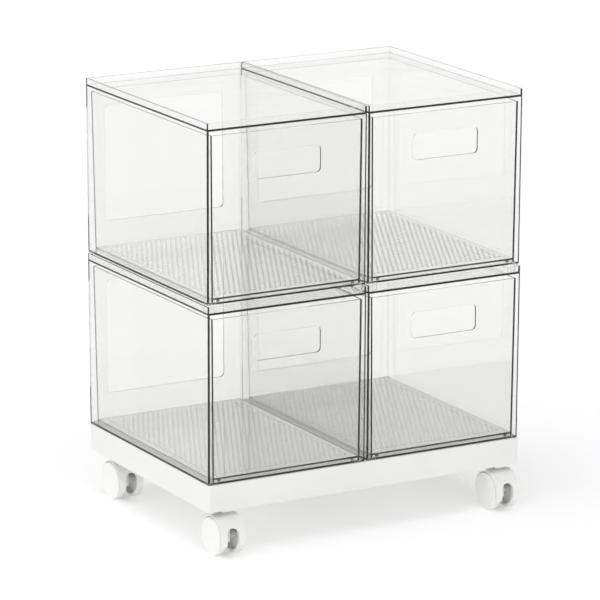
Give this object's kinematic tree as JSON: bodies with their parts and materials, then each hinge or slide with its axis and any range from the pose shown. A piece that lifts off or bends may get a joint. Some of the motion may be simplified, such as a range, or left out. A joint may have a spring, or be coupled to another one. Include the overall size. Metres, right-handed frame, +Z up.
{
  "type": "shoe drawer box stack",
  "caption": "Stack of clear plastic shoe drawer boxes with finger slots, nested by rims and feet on a white rolling base with twin-wheel swivel casters.",
  "frame": {"origin": "on the floor, under the middle of the whole object's box at rest, with the front caster hoods included", "axes": "+Z up, the drawers open towards -Y, +X to the right when facing the drawers"},
  "size_m": [0.464, 0.3576, 0.5658],
  "materials": {
    "clear_case": "clear, polished",
    "clear_drawer": "clear, polished, with a finely textured floor",
    "white_base": "satin",
    "caster_housing": "semi-gloss",
    "caster_wheel": "satin",
    "steel": "zinc plated"
  },
  "bodies": {
    "base_body": {"base": "white_base", "stem_grip_rings": "steel", "stem_front_left": "steel", "stem_front_right": "steel", "stem_back_left": "steel", "stem_back_right": "steel"},
    "lower_left_case": {"case_lower_left": "clear_case"},
    "lower_left_drawer": {"drawer_lower_left": "clear_drawer"},
    "lower_right_case": {"case_lower_right": "clear_case"},
    "lower_right_drawer": {"drawer_lower_right": "clear_drawer"},
    "upper_left_case": {"case_upper_left": "clear_case"},
    "upper_left_drawer": {"drawer_upper_left": "clear_drawer"},
    "upper_right_case": {"case_upper_right": "clear_case"},
    "upper_right_drawer": {"drawer_upper_right": "clear_drawer"},
    "front_left_caster": {"housing_front_left": "caster_housing", "axle_front_left": "steel"},
    "front_left_outer_wheel": {"outer_wheel_front_left": "caster_wheel"},
    "front_left_inner_wheel": {"inner_wheel_front_left": "caster_wheel"},
    "front_right_caster": {"housing_front_right": "caster_housing", "axle_front_right": "steel"},
    "front_right_outer_wheel": {"outer_wheel_front_right": "caster_wheel"},
    "front_right_inner_wheel": {"inner_wheel_front_right": "caster_wheel"},
    "back_left_caster": {"housing_back_left": "caster_housing", "axle_back_left": "steel"},
    "back_left_outer_wheel": {"outer_wheel_back_left": "caster_wheel"},
    "back_left_inner_wheel": {"inner_wheel_back_left": "caster_wheel"},
    "back_right_caster": {"housing_back_right": "caster_housing", "axle_back_right": "steel"},
    "back_right_outer_wheel": {"outer_wheel_back_right": "caster_wheel"},
    "back_right_inner_wheel": {"inner_wheel_back_right": "caster_wheel"}
  },
  "joints": [
    {"name": "lower_left_lift_off", "type": "slide", "parent": "base_body", "child": "lower_left_case", "axis": [0, 0, 1], "range_m": [0, 0.08]},
    {"name": "lower_right_lift_off", "type": "slide", "parent": "base_body", "child": "lower_right_case", "axis": [0, 0, 1], "range_m": [0, 0.08]},
    {"name": "upper_left_lift_off", "type": "slide", "parent": "lower_left_case", "child": "upper_left_case", "axis": [0, 0, 1], "range_m": [0, 0.08]},
    {"name": "upper_right_lift_off", "type": "slide", "parent": "lower_right_case", "child": "upper_right_case", "axis": [0, 0, 1], "range_m": [0, 0.08]},
    {"name": "lower_left_drawer_pull", "type": "slide", "parent": "lower_left_case", "child": "lower_left_drawer", "axis": [0, -1, 0], "range_m": [0, 0.28]},
    {"name": "lower_right_drawer_pull", "type": "slide", "parent": "lower_right_case", "child": "lower_right_drawer", "axis": [0, -1, 0], "range_m": [0, 0.28]},
    {"name": "upper_left_drawer_pull", "type": "slide", "parent": "upper_left_case", "child": "upper_left_drawer", "axis": [0, -1, 0], "range_m": [0, 0.28]},
    {"name": "upper_right_drawer_pull", "type": "slide", "parent": "upper_right_case", "child": "upper_right_drawer", "axis": [0, -1, 0], "range_m": [0, 0.28]},
    {"name": "front_left_swivel", "type": "hinge", "parent": "base_body", "child": "front_left_caster", "pos_m": [-0.206, -0.1342, 0.05], "axis": [0, 0, 1], "continuous": true},
    {"name": "front_left_outer_roll", "type": "hinge", "parent": "front_left_caster", "child": "front_left_outer_wheel", "pos_m": [-0.206, -0.1512, 0.025], "axis": [1, 0, 0], "continuous": true},
    {"name": "front_left_inner_roll", "type": "hinge", "parent": "front_left_caster", "child": "front_left_inner_wheel", "pos_m": [-0.206, -0.1512, 0.025], "axis": [1, 0, 0], "continuous": true},
    {"name": "front_right_swivel", "type": "hinge", "parent": "base_body", "child": "front_right_caster", "pos_m": [0.206, -0.1342, 0.05], "axis": [0, 0, 1], "continuous": true},
    {"name": "front_right_outer_roll", "type": "hinge", "parent": "front_right_caster", "child": "front_right_outer_wheel", "pos_m": [0.206, -0.1512, 0.025], "axis": [1, 0, 0], "continuous": true},
    {"name": "front_right_inner_roll", "type": "hinge", "parent": "front_right_caster", "child": "front_right_inner_wheel", "pos_m": [0.206, -0.1512, 0.025], "axis": [1, 0, 0], "continuous": true},
    {"name": "back_left_swivel", "type": "hinge", "parent": "base_body", "child": "back_left_caster", "pos_m": [-0.206, 0.1518, 0.05], "axis": [0, 0, 1], "continuous": true},
    {"name": "back_left_outer_roll", "type": "hinge", "parent": "back_left_caster", "child": "back_left_outer_wheel", "pos_m": [-0.206, 0.1348, 0.025], "axis": [1, 0, 0], "continuous": true},
    {"name": "back_left_inner_roll", "type": "hinge", "parent": "back_left_caster", "child": "back_left_inner_wheel", "pos_m": [-0.206, 0.1348, 0.025], "axis": [1, 0, 0], "continuous": true},
    {"name": "back_right_swivel", "type": "hinge", "parent": "base_body", "child": "back_right_caster", "pos_m": [0.206, 0.1518, 0.05], "axis": [0, 0, 1], "continuous": true},
    {"name": "back_right_outer_roll", "type": "hinge", "parent": "back_right_caster", "child": "back_right_outer_wheel", "pos_m": [0.206, 0.1348, 0.025], "axis": [1, 0, 0], "continuous": true},
    {"name": "back_right_inner_roll", "type": "hinge", "parent": "back_right_caster", "child": "back_right_inner_wheel", "pos_m": [0.206, 0.1348, 0.025], "axis": [1, 0, 0], "continuous": true}
  ]
}
